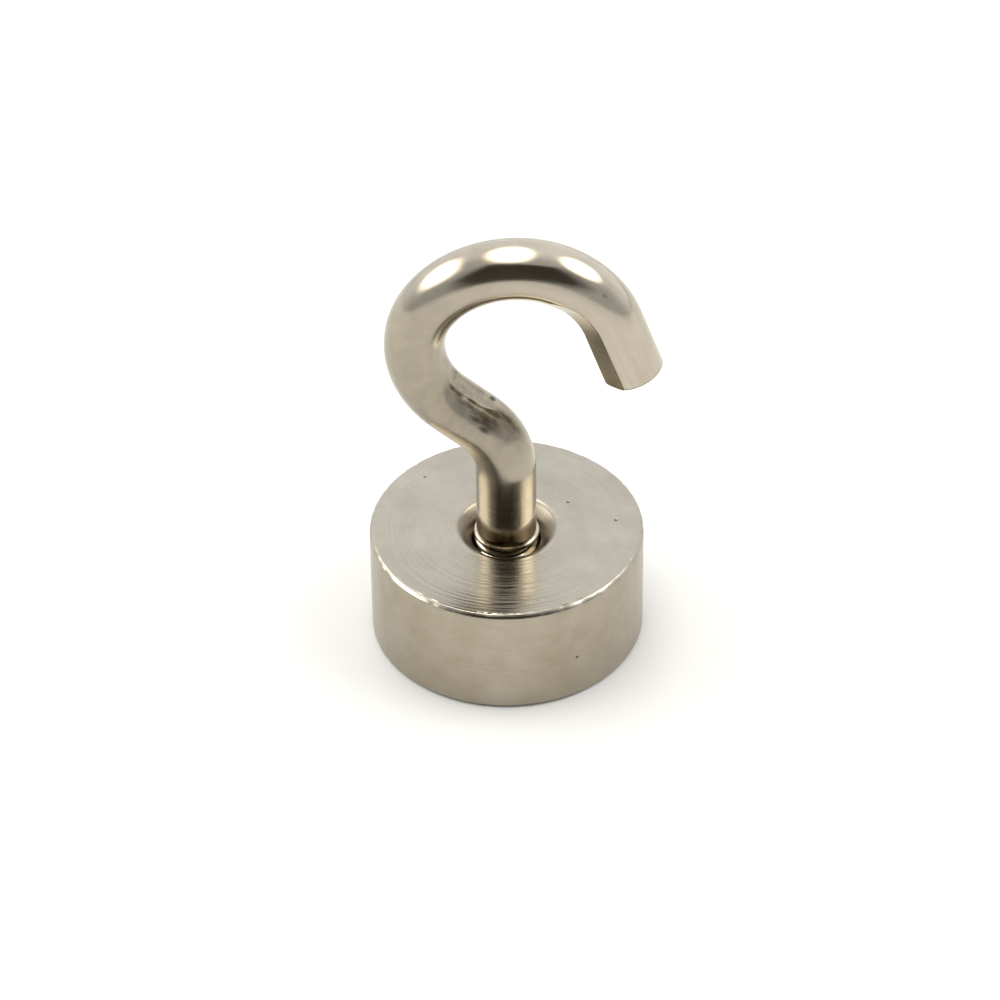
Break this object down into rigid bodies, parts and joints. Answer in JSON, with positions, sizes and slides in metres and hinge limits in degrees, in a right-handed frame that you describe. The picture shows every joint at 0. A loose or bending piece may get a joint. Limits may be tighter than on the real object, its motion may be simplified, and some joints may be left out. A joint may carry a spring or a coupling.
{
  "type": "magnet fishing magnet",
  "caption": "Round pot magnet with a flat working face and an open wire hook screwed into its back, for retrieving or hanging steel items.",
  "frame": {"origin": "centre of the flat working face, on the pot's axis", "axes": "+Z along the pot's axis from the working face towards the hook; the hook's wire lies in the XZ plane and its mouth opens towards +X"},
  "size_m": [0.017, 0.016, 0.0277],
  "materials": {
    "pot": "turned steel, nickel plated, satin with fine turning rings on top",
    "magnet": "sintered neodymium, nickel plated, fine ground face",
    "magnet_bond": "cured adhesive film",
    "resin_ring": "cured potting resin",
    "hook": "bent steel wire, nickel plated, bright with bending marks"
  },
  "bodies": {
    "pot_body": {"pot": "pot", "magnet": "magnet", "magnet_bond": "magnet_bond", "resin_ring": "resin_ring"},
    "hook_body": {"hook": "hook"}
  },
  "joints": [
    {"name": "hook_turn", "type": "hinge", "parent": "pot_body", "child": "hook_body", "pos_m": [0, 0, 0.00705], "axis": [0, 0, 1], "range_deg": [0, 1000]}
  ]
}
